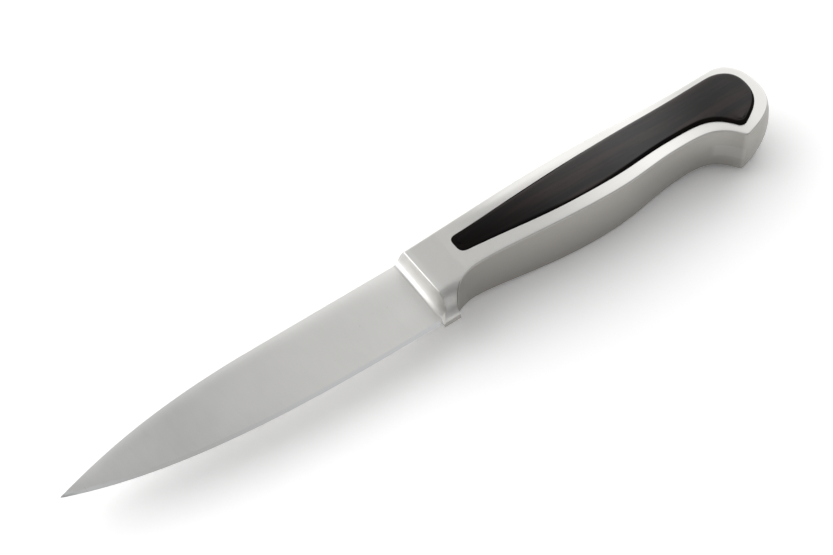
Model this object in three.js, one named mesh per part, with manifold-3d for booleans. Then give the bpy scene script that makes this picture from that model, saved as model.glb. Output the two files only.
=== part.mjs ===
// Small forged kitchen knife: a pointed blade, bolster and full tang in one forging, two steel handle scales
// welded to the tang, and a dark wood inlay glued into a pocket in each scale.
// The knife lies on its right side with the left side up.

import * as THREE from 'three';
import { mergeVertices } from 'three/addons/utils/BufferGeometryUtils.js';
import Module from 'manifold-3d';

const wasm = await Module();
wasm.setup();

const { clamp, degToRad, lerp, smoothstep } = THREE.MathUtils;

// All lengths are in millimetres. While the pieces are shaped, x runs from the bolster's front edge at x = 0
// to the butt, y points to the spine and z out of the left side, with z = 0 on the blade's middle plane.
// Depths are measured down from y = 0, the back corner of the bolster's side face.

// Blade
const BLADE_LENGTH = 99.5; // heel to tip
const BLADE_HEIGHT = 20.5; // spine to edge at the heel
const SPINE_THICKNESS = 2.3; // at the bolster
const TIP_THICKNESS = 0.8; // spine at the tip
const BEVEL_THICKNESS = 0.45; // where the sharpened bevel starts
const BEVEL_HEIGHT = 1.3; // sharpened bevel above the edge
const BEVEL_SHARE = 0.33; // largest share of the blade's height that the bevel takes up, near the tip
const TIP_DROP = 8.1; // tip below the line of the spine
const SPINE_BEND = 56; // length of spine that bends down to the tip
const EDGE_FLAT = 6; // straight stretch of edge in front of the heel
const SPINE_TIP_ANGLE = 18; // degrees that the spine falls at the tip
const EDGE_TIP_ANGLE = 23; // degrees that the edge rises at the tip

// Bolster and finger guard
const BOLSTER_THICKNESS = 12.6;
const FRONT_CHAMFER = 0.3; // along the bolster's crisp front edge
const FILLET_RUN = 2.6; // sweep from the blade's face into the bolster, along the blade
const FILLET_RISE = 3; // the same sweep, across the blade
const FILLET_SHARE = 0.6; // largest share of the step to the bolster that the sweep takes up
const HEEL_SETBACK = 2.1; // guard's front in front of the bolster edge
const GUARD_WIDTH = 4.9; // land at the bottom of the guard
const GUARD_DEPTH = 19.7;
const GUARD_THICKNESS = 2.2; // at the land
const SHOULDER_DEPTH = 14.3; // where the side face starts to fall away to the guard
const NOSE_DEPTH = 18; // where the front edge starts to draw forward into the guard's nose
const NOSE_LENGTH = 0.4; // of the nose's point, at the land
const RECESS_LENGTH = 9.7; // finger recess behind the guard
const RECESS_TOP_DEPTH = 13.4;

// Handle
const HANDLE_LENGTH = 106;
const HANDLE_THICKNESS = 17.2; // steel at its thickest
const BUTT_THICKNESS = 14.2;
const THICKEST_AT = 45; // from the bolster edge
const BUTT_LAND = 18; // even thickness at the butt
const BACK_RISE = 0.85; // rise of the side face's back edge behind the bolster
const BACK_RISE_LENGTH = 45;
const SWELL_AT = 52; // from the bolster edge
const SWELL_DEPTH = 16.6;
const WAIST_FROM_BUTT = 27.5;
const WAIST_DEPTH = 14.6;
const HOOK_FROM_BUTT = 13.8;
const HOOK_DEPTH = 21.5;
const HOOK_BUTT_ANGLE = 13; // degrees, butt side of the hook above level
const HOOK_BELLY_ANGLE = 123; // degrees, belly side of the hook above level
const HOOK_ROUND = 1; // length of each side that the hook's round corner takes up
const BUTT_BEND = 8; // length of the back that bends into the butt
const BUTT_DEPTH = 9; // rearmost point of the butt
const BACK_CROWN = 1.6; // how far the back bulges at the middle plane
const BELLY_CROWN = 0.8;
const BUTT_CROWN = 1;
const EDGE_RADIUS = 0.8; // round between side face and wall
const TANG_THICKNESS = 4;
const POCKET_FLOOR = 2.5; // steel left under the inlay's pocket

// Inlay
const INLAY_SETBACK = 11.1; // front end behind the bolster edge
const INLAY_END_HEIGHT = 5.2;
const INLAY_END_ROUND = 1.9; // length of each side that an end corner takes up
const INLAY_WELD_LAND = 2.1; // steel between the weld and the inlay
const INLAY_END_SLOPE = 8; // degrees that the belly edge falls away from the front end
const INLAY_BUTT_DEPTH = 7.5; // rearmost point of the inlay
const INLAY_BUTT_ANGLE = 27; // degrees, butt side of the inlay's hook above level
const RIM_BACK_FRONT = 3.5; // steel rim round the inlay
const RIM_BACK_REAR = 1.7;
const RIM_BUTT = 2.9;
const RIM_HOOK = 2.4;
const RIM_WAIST = 3.3;
const RIM_SWELL = 3.7;
const PROUD_FRONT = 0.35; // inlay above the steel
const PROUD_REST = 0.4; // at the flat on which the knife rests
const PROUD_REAR = 1.1;
const INLAY_CLEARANCE = 0.15; // between inlay and pocket wall
const GLUE_THICKNESS = 0.3;

// Values that follow from the driving dimensions
const TIP_X = -HEEL_SETBACK - BLADE_LENGTH;
const SPINE_Y = BACK_CROWN;
const EDGE_Y = SPINE_Y - BLADE_HEIGHT;
const GUARD_REAR = GUARD_WIDTH - HEEL_SETBACK;
const RECESS_TOP = GUARD_REAR + RECESS_LENGTH;
const WELD_X = INLAY_SETBACK - INLAY_WELD_LAND;
const WAIST_X = HANDLE_LENGTH - WAIST_FROM_BUTT;
const FLOOR_Z = TANG_THICKNESS / 2 + POCKET_FLOOR;
const INLAY_BASE_Z = FLOOR_Z + GLUE_THICKNESS;
const REST_Z = HANDLE_THICKNESS / 2 + PROUD_REST;

// Lengths of a smooth curve's handles, as shares of its chord
const PULL = 0.43;
const RECESS_PULL = 0.21; // where the belly meets the finger recess
const SPINE_PULL = 0.39; // where the spine starts to bend
const SPINE_TIP_PULL = 0.3;
const EDGE_PULL = 0.4; // where the edge starts to rise
const EDGE_TIP_PULL = 0.28;

// Fineness of the facets
const MERGE_DISTANCE = 1e-3;
const HALVINGS = 40; // in the search for a curve's height
const CREASE_PASSES = 4; // in the search for a wall's crease
const TIP_BUNCHING = 1.6; // stations lie closer together towards the tip
const WALL_STEPS = 3;
const ROUND_STEPS = 3;
const FACE_STEPS = 5; // across the side face, from the back to the shoulder
const SHOULDER_STEPS = 10; // and from the shoulder to the belly
const SHOULDER_SHARE = 0.9; // lowest place of the shoulder's step between back and belly
const BLADE_STATIONS = 20;
const FILLET_STATIONS = 6;
const RECESS_STATIONS = 7;
const SIDE_STATIONS = 18; // between the inlay's front end and the waist
const BUTT_STEPS = 7;
const CORNER_STEPS = 4;
const END_STEPS = 3 * CORNER_STEPS; // round the inlay's front end

const point = (x, y) => new THREE.Vector2(x, y);
const heading = (degrees) => point(Math.cos(degToRad(degrees)), Math.sin(degToRad(degrees)));

// A smooth curve that leaves one point and reaches another along given headings.
function curveBetween(start, startAngle, end, endAngle, startPull = PULL, endPull = PULL) {
  const chord = start.distanceTo(end);
  const leaving = heading(startAngle).multiplyScalar(chord * startPull).add(start);
  const arriving = heading(endAngle).multiplyScalar(-chord * endPull).add(end);
  return new THREE.CubicBezierCurve(start, leaving, arriving, end);
}

// Height of a curve at a given x, for a curve whose x only grows or only falls.
function heightAt(curve, x) {
  const rising = curve.getPoint(1).x > curve.getPoint(0).x;
  let low = 0;
  let high = 1;
  for (let i = 0; i < HALVINGS; i++) {
    const middle = (low + high) / 2;
    if (curve.getPoint(middle).x < x === rising) low = middle;
    else high = middle;
  }
  return curve.getPoint(low).y;
}

// Evenly spaced values from one end up to, but not including, the other.
const between = (from, to, steps) => Array.from({ length: steps }, (_, i) => lerp(from, to, i / steps));

const samples = (curve, steps) => Array.from({ length: steps }, (_, i) => curve.getPoint(i / steps));
const normals = (curve, steps) =>
  Array.from({ length: steps }, (_, i) => {
    const along = curve.getTangent(i / steps);
    return point(-along.y, along.x);
  });

// Half the handle's steel thickness: it swells from the bolster and draws in again to the butt.
function faceHeight(x) {
  if (x < THICKEST_AT) {
    return lerp(BOLSTER_THICKNESS / 2, HANDLE_THICKNESS / 2, smoothstep(x, 0, THICKEST_AT));
  }
  const drawn = smoothstep(x, THICKEST_AT, HANDLE_LENGTH - BUTT_LAND);
  return lerp(HANDLE_THICKNESS / 2, BUTT_THICKNESS / 2, drawn);
}

// Back edge of the side face: it rises a little behind the bolster and then runs level.
const backEdge = (x) => BACK_RISE * (1 - (1 - clamp(x / BACK_RISE_LENGTH, 0, 1)) ** 2);

// Belly line from the waist over the swell to a front point, set in from the side face's edge by a rim.
function bellyLine(rim, front, frontAngle, frontPull) {
  const waist = point(WAIST_X, -WAIST_DEPTH + rim.waist);
  const swell = point(SWELL_AT, -SWELL_DEPTH + rim.swell);
  const rear = curveBetween(waist, 180, swell, 180);
  const fore = curveBetween(swell, 180, front, frontAngle, PULL, frontPull);
  return (x) => heightAt(x > SWELL_AT ? rear : fore, x);
}

// Belly edge of the side face, ending in the elliptical finger recess.
const NO_RIM = {
  butt: 0,
  hook: 0,
  waist: 0,
  swell: 0,
  buttDepth: BUTT_DEPTH,
  buttAngle: HOOK_BUTT_ANGLE,
  round: HOOK_ROUND,
};
const grip = bellyLine(NO_RIM, point(RECESS_TOP, -RECESS_TOP_DEPTH), 180, RECESS_PULL);
function bellyEdge(x) {
  if (x >= RECESS_TOP) return grip(x);
  const reach = clamp((RECESS_TOP - x) / RECESS_LENGTH, 0, 1);
  return -GUARD_DEPTH + (GUARD_DEPTH - RECESS_TOP_DEPTH) * Math.sqrt(1 - reach ** 2);
}

// Where a crowned wall turns into the round edge: the height of that crease, and the wall's lean there. The
// round goes on from the lean, so the height and the lean settle together.
function creaseOf(faceZ, crown, radius) {
  let z = faceZ - radius;
  for (let i = 0; i < CREASE_PASSES; i++) {
    z = faceZ - radius * (1 - Math.sin(Math.atan2(2 * crown, z)));
  }
  return { z, lean: Math.atan2(2 * crown, z) };
}

// Outward offset of a wall at a height: a crown up to the crease, then the round edge into the side face.
function wallOffset(z, faceZ, crown, radius) {
  const crease = creaseOf(faceZ, crown, radius);
  if (z <= crease.z) return crown * (1 - (z / crease.z) ** 2);
  const sine = Math.sin(crease.lean) + (z - crease.z) / radius;
  return radius * (Math.sqrt(Math.max(0, 1 - sine ** 2)) - Math.cos(crease.lean));
}

// Heights of a wall's facets from a given level up to the side face, closer together round the edge.
function wallLevels(faceZ, crown, radius, fromZ) {
  const crease = creaseOf(faceZ, crown, radius);
  const turns = between(crease.lean, Math.PI / 2, ROUND_STEPS);
  return [
    ...between(fromZ, crease.z, WALL_STEPS),
    ...turns.map((turn) => crease.z + radius * (Math.sin(turn) - Math.sin(crease.lean))),
    faceZ,
  ];
}

// Closed mesh from rings of equal length: strips between neighbours, and a cap on an end that is not a point.
function loft(rings, capStart, capEnd) {
  const count = rings[0].length;
  const positions = rings.flat().flatMap((p) => [p.x, p.y, p.z]);
  const faces = [];
  for (let r = 0; r + 1 < rings.length; r++) {
    for (let i = 0; i < count; i++) {
      const next = (i + 1) % count;
      const a = r * count + i;
      const b = r * count + next;
      faces.push([a, b, b + count], [a, b + count, a + count]);
    }
  }
  if (capStart) {
    capStart(rings[0]).forEach(([a, b, c]) => faces.push([c, b, a]));
  }
  if (capEnd) {
    const first = (rings.length - 1) * count;
    capEnd(rings.at(-1)).forEach(([a, b, c]) => faces.push([first + a, first + b, first + c]));
  }
  return closedGeometry(positions, faces);
}

// Triangles between two runs of corners, stepping along whichever run is behind.
function zip(first, second) {
  const faces = [];
  let i = 0;
  let j = 0;
  while (i + 1 < first.length || j + 1 < second.length) {
    const firstBehind = (i + 1) * (second.length - 1) <= (j + 1) * (first.length - 1);
    if (j + 1 === second.length || (i + 1 < first.length && firstBehind)) {
      faces.push([first[i], first[i + 1], second[j]]);
      i += 1;
    } else {
      faces.push([first[i], second[j + 1], second[j]]);
      j += 1;
    }
  }
  return faces;
}

// Flat cap of a cross-section, in rungs between its two mirrored halves.
function sectionCap(ring) {
  const left = Array.from({ length: ring.length / 2 + 1 }, (_, i) => i);
  const right = left.map((i) => (ring.length - i) % ring.length);
  return zip(left, right);
}

// Cap of a ring round the handle, which may bend along x: the front end is zipped to the first rung, rungs run
// straight across between back and belly, and the butt is zipped to the belly side of the hook.
function handleCap(ring) {
  const along = (from, to) => {
    const step = Math.sign(to - from);
    return Array.from({ length: Math.abs(to - from) + 1 }, (_, i) => (from + step * i) % ring.length);
  };
  const bellyFront = ring.length - END_STEPS;
  const bellyWaist = bellyFront - SIDE_STATIONS;
  const hook = bellyWaist - BUTT_STEPS - CORNER_STEPS / 2;
  return [
    ...zip(along(bellyFront, ring.length), [bellyFront - 1, 1]),
    ...zip(along(1, SIDE_STATIONS), along(bellyFront - 1, bellyWaist)),
    ...zip(along(SIDE_STATIONS, hook), along(bellyWaist, hook)),
  ];
}

// Merges equal corners, drops triangles that have shrunk to a line, and turns the surface outward.
function closedGeometry(positions, faces) {
  const raw = new THREE.BufferGeometry();
  raw.setAttribute('position', new THREE.Float32BufferAttribute(positions, 3));
  raw.setIndex(faces.flat());
  const merged = mergeVertices(raw, MERGE_DISTANCE);
  const index = merged.getIndex().array;
  const kept = [];
  for (let i = 0; i < index.length; i += 3) {
    const [a, b, c] = [index[i], index[i + 1], index[i + 2]];
    if (a !== b && b !== c && c !== a) kept.push(a, b, c);
  }
  merged.setIndex(signedVolume(merged.getAttribute('position'), kept) < 0 ? kept.reverse() : kept);
  return merged;
}

function signedVolume(position, index) {
  const corner = (i) => new THREE.Vector3().fromBufferAttribute(position, i);
  let volume = 0;
  for (let i = 0; i < index.length; i += 3) {
    volume += corner(index[i]).dot(corner(index[i + 1]).cross(corner(index[i + 2]))) / 6;
  }
  return volume;
}

function toSolid(geometry) {
  const vertProperties = new Float32Array(geometry.getAttribute('position').array);
  const triVerts = new Uint32Array(geometry.getIndex().array);
  return new wasm.Manifold(new wasm.Mesh({ numProp: 3, vertProperties, triVerts }));
}

function joined(first, second) {
  const { vertProperties, triVerts } = toSolid(first).add(toSolid(second)).getMesh();
  const geometry = new THREE.BufferGeometry();
  geometry.setAttribute('position', new THREE.Float32BufferAttribute(vertProperties, 3));
  geometry.setIndex(Array.from(triVerts));
  return geometry;
}

// The right side's piece is the left one's mirror image in the middle plane.
function mirrored(geometry) {
  const copy = geometry.clone().scale(1, 1, -1);
  copy.setIndex(Array.from(copy.getIndex().array).reverse());
  return copy;
}

// Blade outline: a straight spine that bends down to the tip, and an edge that sweeps up to it.
const tip = point(TIP_X, SPINE_Y - TIP_DROP);
const spineBendStart = point(TIP_X + SPINE_BEND, SPINE_Y);
const spineBend = curveBetween(spineBendStart, 180, tip, 180 + SPINE_TIP_ANGLE, SPINE_PULL, SPINE_TIP_PULL);
const edgeBendStart = point(-HEEL_SETBACK - EDGE_FLAT, EDGE_Y);
const edgeBend = curveBetween(edgeBendStart, 180, tip, 180 - EDGE_TIP_ANGLE, EDGE_PULL, EDGE_TIP_PULL);
const spineLine = (x) => (x > spineBendStart.x ? SPINE_Y : heightAt(spineBend, x));
const edgeLine = (x) => (x > edgeBendStart.x ? EDGE_Y : heightAt(edgeBend, x));
const spineHalf = (x) => lerp(SPINE_THICKNESS, TIP_THICKNESS, clamp(x / TIP_X, 0, 1)) / 2;
const bevelTop = (x) => edgeLine(x) + Math.min(BEVEL_HEIGHT, BEVEL_SHARE * (spineLine(x) - edgeLine(x)));

// Half the blade's thickness: a straight taper from spine to bevel.
function bladeHalf(x, y) {
  const down = clamp((spineLine(x) - y) / (spineLine(x) - bevelTop(x)), 0, 1);
  return lerp(spineHalf(x), BEVEL_THICKNESS / 2, down);
}

// Half the guard's thickness: the side face falls away in an ogee to the thin land.
function guardHalf(y) {
  const up = smoothstep(y, -GUARD_DEPTH, -SHOULDER_DEPTH);
  return lerp(GUARD_THICKNESS, BOLSTER_THICKNESS, up) / 2;
}

// How much the guard's front is a nose instead of a swept fillet with a crisp edge: all at the blade's edge, and
// not at all above the nose's start.
const noseShare = (y) => 1 - smoothstep(y, EDGE_Y, -NOSE_DEPTH);

// Half the nose: a straight wedge from the heel, which is shorter towards the land.
function noseHalf(x, y) {
  const down = clamp((-NOSE_DEPTH - y) / (GUARD_DEPTH - NOSE_DEPTH), 0, 1);
  return guardHalf(y) * clamp((x + HEEL_SETBACK) / lerp(HEEL_SETBACK, NOSE_LENGTH, down), 0, 1);
}

// Bolster's side face: the guard's ogee in front, level across by the time it meets the scales.
function bolsterFace(x, y) {
  return lerp(guardHalf(y), faceHeight(x), smoothstep(x, GUARD_REAR, WELD_X));
}

// Blade's face with the concave sweep that climbs into the bolster, and the nose at the bottom of the guard.
function sweptFace(x, y) {
  const thin = bladeHalf(x, y);
  const rise = Math.min(FILLET_RISE, FILLET_SHARE * (guardHalf(y) - thin));
  const along = clamp((x + FILLET_RUN) / FILLET_RUN, 0, 1);
  const swept = thin + rise * (1 - Math.sqrt(1 - along ** 2));
  return lerp(swept, Math.max(thin, noseHalf(x, y)), noseShare(y));
}

// One cross-section of blade or bolster: up the back wall, across the side face and down the belly wall, then
// the same mirrored. The face is a height over y, and cut is how far a chamfer lowers it above the nose.
function forgingSection(x, face, cut) {
  const backWall = backSection(x, face, cut);
  const bellyWall = bellySection(x, face);
  const [from, to] = [backWall.at(-1).y, bellyWall[0].y];
  const shoulder = Math.max(-SHOULDER_DEPTH, lerp(from, to, SHOULDER_SHARE));
  const across = [...between(from, shoulder, FACE_STEPS).slice(1), ...between(shoulder, to, SHOULDER_STEPS)];
  const sideFace = across.map((y) => ({ y, z: face(x, y) - cut * (1 - noseShare(y)) }));
  const upper = [...backWall, ...sideFace, ...bellyWall].map(({ y, z }) => new THREE.Vector3(x, y, z));
  const lower = upper.slice(1, -1).reverse().map((p) => new THREE.Vector3(p.x, p.y, -p.z));
  return [...upper, ...lower];
}

// Back of a cross-section, from the middle plane up to the side face: the blade's flat spine, or the crowned and
// rounded wall of the bolster, cut off where the face in front of the bolster is lower.
function backSection(x, face, cut) {
  const faceZ = faceHeight(Math.max(x, 0));
  const topZ = face === bolsterFace ? faceZ - cut : face(x, spineLine(x));
  const wall = wallLevels(faceZ, BACK_CROWN, EDGE_RADIUS, 0).map((z) => {
    const onBlade = x <= -FILLET_RUN;
    return { y: onBlade ? spineLine(x) : backEdge(x) + wallOffset(z, faceZ, BACK_CROWN, EDGE_RADIUS), z };
  });
  return cutOff(wall, topZ);
}

// A wall whose points above a height are drawn down to where the wall crosses that height.
function cutOff(wall, topZ) {
  const above = wall.findIndex(({ z }) => z > topZ);
  if (above < 1) return wall;
  const [low, high] = [wall[above - 1], wall[above]];
  const y = lerp(low.y, high.y, (topZ - low.z) / (high.z - low.z));
  return wall.map((p) => (p.z > topZ ? { y, z: topZ } : p));
}

// Belly side of a cross-section, from the side face down to the middle plane: the sharpened bevel on the blade,
// the land on the guard, the rounded wall in the finger recess.
function bellySection(x, face) {
  const last = WALL_STEPS + ROUND_STEPS;
  if (x < -HEEL_SETBACK) {
    const top = bevelTop(x);
    const shoulder = { y: top, z: face(x, top) };
    return Array.from({ length: last + 1 }, (_, i) => (i < last ? shoulder : { y: edgeLine(x), z: 0 }));
  }
  const low = bellyEdge(x);
  const faceZ = face(x, low);
  const radius = EDGE_RADIUS * clamp((x - GUARD_REAR) / (WELD_X - GUARD_REAR), 0, 1);
  const levels = wallLevels(faceZ, 0, radius, 0).reverse();
  return levels.map((z) => ({ y: low - wallOffset(z, faceZ, 0, radius), z }));
}

// Blade and bolster as one loft from the tip to the weld.
function bladeAndBolster() {
  const sections = [forgingSection(TIP_X, sweptFace, 0).map(() => new THREE.Vector3(tip.x, tip.y, 0))];
  const bladeEnd = -Math.max(FILLET_RUN, HEEL_SETBACK);
  for (let i = 1; i < BLADE_STATIONS; i++) {
    const share = (i / BLADE_STATIONS) ** TIP_BUNCHING;
    sections.push(forgingSection(lerp(TIP_X, bladeEnd, share), sweptFace, 0));
  }
  for (let i = 0; i <= FILLET_STATIONS; i++) {
    const turn = (Math.PI / 2) * (i / FILLET_STATIONS);
    sections.push(forgingSection(lerp(bladeEnd, 0, Math.sin(turn)), sweptFace, 0));
  }
  sections.push(forgingSection(0, bolsterFace, FRONT_CHAMFER));
  sections.push(forgingSection(FRONT_CHAMFER, bolsterFace, 0));
  const weldTurn = Math.acos((RECESS_TOP - WELD_X) / RECESS_LENGTH);
  for (let i = 0; i <= RECESS_STATIONS; i++) {
    const turn = weldTurn * (i / RECESS_STATIONS);
    const x = i < RECESS_STATIONS ? RECESS_TOP - RECESS_LENGTH * Math.cos(turn) : WELD_X;
    sections.push(forgingSection(x, bolsterFace, 0));
  }
  return loft(sections, null, sectionCap);
}

// Corner of the hook, moved in from both of its sides by an inset.
function hookCorner(inset) {
  const buttSide = heading(HOOK_BUTT_ANGLE);
  const bellySide = heading(HOOK_BELLY_ANGLE);
  const halfAngle = degToRad(HOOK_BELLY_ANGLE - HOOK_BUTT_ANGLE) / 2;
  const inward = buttSide.add(bellySide).normalize();
  const corner = point(HANDLE_LENGTH - HOOK_FROM_BUTT, -HOOK_DEPTH);
  return corner.addScaledVector(inward, inset / Math.sin(halfAngle));
}

// Stretch of outline round the butt and the hook to the waist, for given rims inside the side face's edge. The rim
// also says where the outline is rearmost, how the butt side meets the hook and how round the hook is.
function buttCurves(backRear, rim) {
  const rearmost = point(HANDLE_LENGTH - rim.butt, -rim.buttDepth);
  const waist = point(WAIST_X, -WAIST_DEPTH + rim.waist);
  const corner = hookCorner(rim.hook);
  const cornerStart = corner.clone().addScaledVector(heading(rim.buttAngle), rim.round);
  const cornerEnd = corner.clone().addScaledVector(heading(HOOK_BELLY_ANGLE), rim.round);
  return [
    [curveBetween(backRear, 0, rearmost, -90), BUTT_STEPS],
    [curveBetween(rearmost, -90, cornerStart, 180 + rim.buttAngle), BUTT_STEPS],
    [new THREE.QuadraticBezierCurve(cornerStart, corner, cornerEnd), CORNER_STEPS],
    [curveBetween(cornerEnd, HOOK_BELLY_ANGLE, waist, 180), BUTT_STEPS],
  ];
}

// Side face's edge round one scale, starting at the weld on the back and ending at the weld on the belly. Each
// point carries its outward normal and the crown of the wall under it.
function scaleEdge() {
  const rearX = HANDLE_LENGTH - BUTT_BEND;
  const onBack = (x) => ({ at: point(x, backEdge(x)), normal: point(0, 1), crown: BACK_CROWN });
  const edge = [...between(WELD_X, WAIST_X, SIDE_STATIONS), WAIST_X].map(onBack);
  const crowns = [BACK_CROWN, BUTT_CROWN, BUTT_CROWN, BELLY_CROWN, BELLY_CROWN];
  buttCurves(point(rearX, backEdge(rearX)), NO_RIM).forEach(([curve, steps], k) => {
    const outward = normals(curve, steps);
    samples(curve, steps).forEach((at, i) => {
      edge.push({ at, normal: outward[i], crown: lerp(crowns[k], crowns[k + 1], i / steps) });
    });
  });
  [...between(WAIST_X, WELD_X, SIDE_STATIONS), WELD_X].forEach((x) => {
    const crown = BELLY_CROWN * smoothstep(x, WELD_X, SWELL_AT);
    edge.push({ at: point(x, bellyEdge(x)), normal: point(0, -1), crown });
  });
  return edge;
}

// Closes an open ring along the straight weld, with as many points as the inlay's front end has.
function closedAtWeld(ring) {
  const [last, first] = [ring.at(-1), ring[0]];
  const weld = between(0, 1, END_STEPS).slice(1);
  return [...ring, ...weld.map((share) => last.clone().lerp(first, share))];
}

// Outline of the inlay, or of its pocket, set in from the inlay's own edge by an inset that depends on x. It runs
// over the same stretches as the side face's edge, with as many points on each.
function inlayOutline(inset) {
  const frontX = INLAY_SETBACK + inset(INLAY_SETBACK);
  const sideX = frontX + INLAY_END_ROUND;
  const rearX = HANDLE_LENGTH - BUTT_BEND - RIM_BUTT;
  const endTop = backEdge(INLAY_SETBACK) - RIM_BACK_FRONT;
  const endDrop = INLAY_END_ROUND * Math.tan(degToRad(INLAY_END_SLOPE));
  const backCorner = point(frontX, endTop - inset(INLAY_SETBACK));
  const bellyCorner = point(frontX, endTop - INLAY_END_HEIGHT + inset(INLAY_SETBACK));
  const backStart = point(sideX, backCorner.y);
  const bellyEnd = point(sideX, bellyCorner.y - endDrop);
  const backRear = point(rearX, backEdge(rearX) - RIM_BACK_REAR - inset(rearX));
  const rim = {
    butt: RIM_BUTT + inset(HANDLE_LENGTH),
    hook: RIM_HOOK + inset(HANDLE_LENGTH),
    waist: RIM_WAIST + inset(WAIST_X),
    swell: RIM_SWELL + inset(SWELL_AT),
    buttDepth: INLAY_BUTT_DEPTH,
    buttAngle: INLAY_BUTT_ANGLE,
    round: INLAY_END_ROUND,
  };
  const back = curveBetween(backStart, 0, backRear, 0);
  const belly = bellyLine(rim, bellyEnd, 180 - INLAY_END_SLOPE, PULL);
  const endLow = bellyCorner.clone().add(point(0, INLAY_END_ROUND));
  const endHigh = backCorner.clone().add(point(0, -INLAY_END_ROUND));
  const frontEnd = [
    new THREE.QuadraticBezierCurve(bellyEnd, bellyCorner, endLow),
    new THREE.LineCurve(endLow, endHigh),
    new THREE.QuadraticBezierCurve(endHigh, backCorner, backStart),
  ];
  const backStations = [...between(sideX, WAIST_X, SIDE_STATIONS), WAIST_X];
  return [
    ...backStations.map((x) => point(x, heightAt(back, x))),
    ...buttCurves(backRear, rim).flatMap(([curve, steps]) => samples(curve, steps)),
    ...between(WAIST_X, sideX, SIDE_STATIONS).map((x) => point(x, belly(x))),
    ...frontEnd.flatMap((curve) => samples(curve, CORNER_STEPS)),
  ];
}

const atHeight = (outline, height) => outline.map((p) => new THREE.Vector3(p.x, p.y, height(p.x)));
const noInset = () => 0;

// Top of the inlay: proud of the steel by a little more towards the butt, with the crest ground flat.
function inlayTop(x) {
  const proud = lerp(PROUD_FRONT, PROUD_REAR, clamp((x - INLAY_SETBACK) / (HANDLE_LENGTH - INLAY_SETBACK), 0, 1));
  return Math.min(faceHeight(x) + proud, REST_Z);
}

// Ring round the handle's wall, at a height that may differ along the edge.
function wallRing(edge, heightOf) {
  const ring = edge.map(({ at, normal, crown }) => {
    const faceZ = faceHeight(at.x);
    const z = heightOf(faceZ, crown);
    const offset = wallOffset(z, faceZ, crown, EDGE_RADIUS);
    return new THREE.Vector3(at.x + normal.x * offset, at.y + normal.y * offset, z);
  });
  return closedAtWeld(ring);
}

// Full tang: the middle slice of the handle, from weld to butt.
function tang() {
  const edge = scaleEdge();
  const levels = [-TANG_THICKNESS / 2, 0, TANG_THICKNESS / 2];
  return loft(levels.map((z) => wallRing(edge, () => z)), handleCap, handleCap);
}

// Steel handle half: crowned wall up from the tang, round edge, side face, and the pocket for the inlay.
function handleScale() {
  const edge = scaleEdge();
  const level = (i) => (faceZ, crown) => wallLevels(faceZ, crown, EDGE_RADIUS, TANG_THICKNESS / 2)[i];
  const rings = Array.from({ length: WALL_STEPS + ROUND_STEPS + 1 }, (_, i) => wallRing(edge, level(i)));
  const pocket = inlayOutline(() => -INLAY_CLEARANCE);
  rings.push(atHeight(pocket, faceHeight));
  rings.push(atHeight(pocket, () => FLOOR_Z));
  return loft(rings, handleCap, handleCap);
}

// Wood inlay: straight sides in the pocket, and a quarter round above the steel as wide as the inlay is proud.
function inlay() {
  const proud = (x) => inlayTop(x) - faceHeight(x);
  const rings = [atHeight(inlayOutline(noInset), () => INLAY_BASE_Z)];
  for (let i = 0; i <= ROUND_STEPS; i++) {
    const turn = (Math.PI / 2) * (i / ROUND_STEPS);
    const outline = inlayOutline((x) => proud(x) * (1 - Math.cos(turn)));
    rings.push(atHeight(outline, (x) => faceHeight(x) + proud(x) * Math.sin(turn)));
  }
  return loft(rings, handleCap, handleCap);
}

// Adhesive bed on the pocket's floor.
function glueBed() {
  const outline = inlayOutline(noInset);
  const rings = [FLOOR_Z, INLAY_BASE_Z].map((z) => atHeight(outline, () => z));
  return loft(rings, handleCap, handleCap);
}

const bladeSteel = () => new THREE.MeshStandardMaterial({ color: 0xb9b9b6, roughness: 0.3, metalness: 1 });
const handleSteel = () => new THREE.MeshStandardMaterial({ color: 0xc9c7c2, roughness: 0.35, metalness: 1 });
const darkWood = () => new THREE.MeshStandardMaterial({ color: 0x2c2422, roughness: 0.45, metalness: 0 });
const clearGlue = () => new THREE.MeshStandardMaterial({ color: 0xcdbb8a, roughness: 0.6, metalness: 0 });

function named(name, geometry, material) {
  const mesh = new THREE.Mesh(geometry, material);
  mesh.name = name;
  return mesh;
}

const knife = new THREE.Group();
const scale = handleScale();
const panel = inlay();
const bed = glueBed();
knife.add(
  named('blade_forging', joined(bladeAndBolster(), tang()), bladeSteel()),
  named('handle_scale_left', scale, handleSteel()),
  named('handle_scale_right', mirrored(scale), handleSteel()),
  named('inlay_left', panel, darkWood()),
  named('inlay_right', mirrored(panel), darkWood()),
  named('inlay_glue_left', bed, clearGlue()),
  named('inlay_glue_right', mirrored(bed), clearGlue()),
);

// The origin is under the middle of the knife, on the surface that it lies on.
const box = new THREE.Box3().setFromObject(knife);
const centre = box.getCenter(new THREE.Vector3());
knife.position.set(-centre.x, -centre.y, -box.min.z);

export default knife;
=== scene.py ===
"""Surfaces, finishes and stage of a small forged kitchen knife, laid out as a Blender add-on.

The surfaces are worked out in the knife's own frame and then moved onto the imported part. There, x runs from the
bolster's front edge at x = 0 to the butt, y points to the spine and z out of the left side, with z = 0 on the
blade's middle plane. Depths are measured down from y = 0, just below the back edge of the side face.
"""

import math
from collections import namedtuple
from functools import partial

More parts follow.
